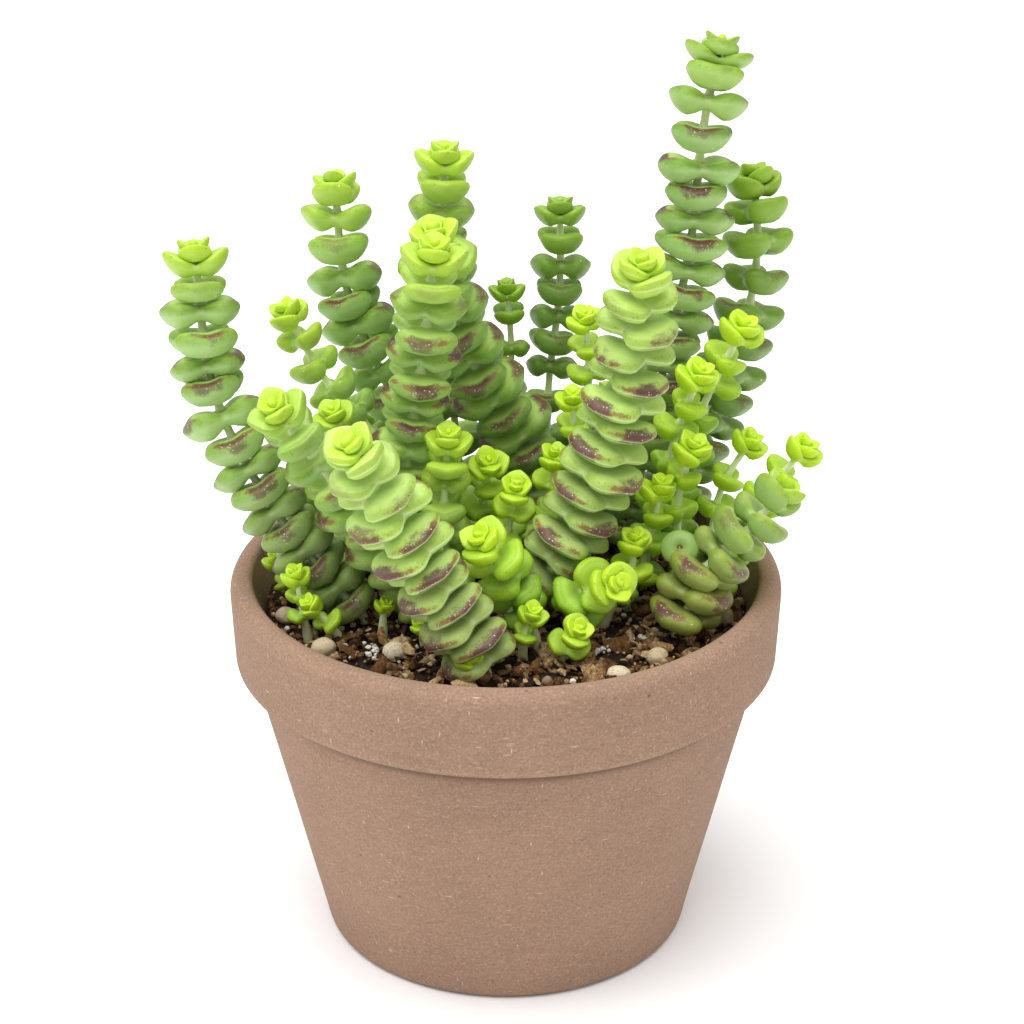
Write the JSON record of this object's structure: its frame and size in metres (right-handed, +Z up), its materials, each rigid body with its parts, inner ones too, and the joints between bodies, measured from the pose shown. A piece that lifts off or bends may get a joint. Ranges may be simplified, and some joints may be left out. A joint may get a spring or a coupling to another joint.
{
  "type": "potted baby necklace crassula",
  "caption": "Thicket of succulent stems strung with crosswise pairs of thick leaves, growing from potting mix in a tapered clay pot with a deep rim.",
  "frame": {"origin": "centre of the pot's base, on the surface it stands on", "axes": "+Z up along the pot's axis; -Y towards the viewer of the picture; +X to the viewer's right"},
  "size_m": [0.1166, 0.1, 0.166],
  "materials": {
    "clay": "matte",
    "potting_mix": "matte",
    "pebble": "matte",
    "leaf": "satin",
    "young_leaf": "satin"
  },
  "bodies": {
    "root": {"pot": "clay", "soil": "potting_mix", "pebble_left": "pebble", "pebble_front_left": "pebble", "pebble_front": "pebble", "pebble_front_right": "pebble", "pebble_right": "pebble", "pebble_far_right": "pebble", "stem_right_tall": "leaf", "stem_right_back": "leaf", "stem_centre_right": "leaf", "stem_centre": "leaf", "stem_centre_back": "leaf", "stem_centre_leaning": "leaf", "stem_left_centre": "leaf", "stem_far_left": "leaf", "stem_left_second": "leaf", "stem_front_left": "leaf", "stem_left_small": "leaf", "stem_background": "leaf", "stem_background_small": "leaf", "stem_shoot_high": "young_leaf", "stem_shoot_upper": "young_leaf", "stem_shoot_mid": "young_leaf", "stem_shoot_inner": "young_leaf", "stem_shoot_low": "young_leaf", "stem_right_leaning": "leaf", "stem_right_branch": "young_leaf", "stem_right_thin": "young_leaf", "stem_front_bright": "young_leaf", "stem_front_low": "young_leaf", "stem_front_right_low": "young_leaf", "stem_front_right_side": "young_leaf", "stem_middle_upper": "young_leaf", "stem_middle_inner": "young_leaf", "stem_middle_bright": "young_leaf", "stem_middle_left": "young_leaf", "stem_middle_front": "young_leaf", "stem_middle_column": "leaf", "stem_left_hidden": "leaf", "stem_offset_wall": "young_leaf", "stem_offset_left": "young_leaf", "stem_offset_front": "young_leaf", "stem_offset_small": "young_leaf", "stem_offset_tiny": "young_leaf", "stem_offset_rim": "young_leaf", "stem_back_right": "leaf", "stem_back_left": "leaf", "stem_back_wall": "leaf"}
  },
  "joints": []
}
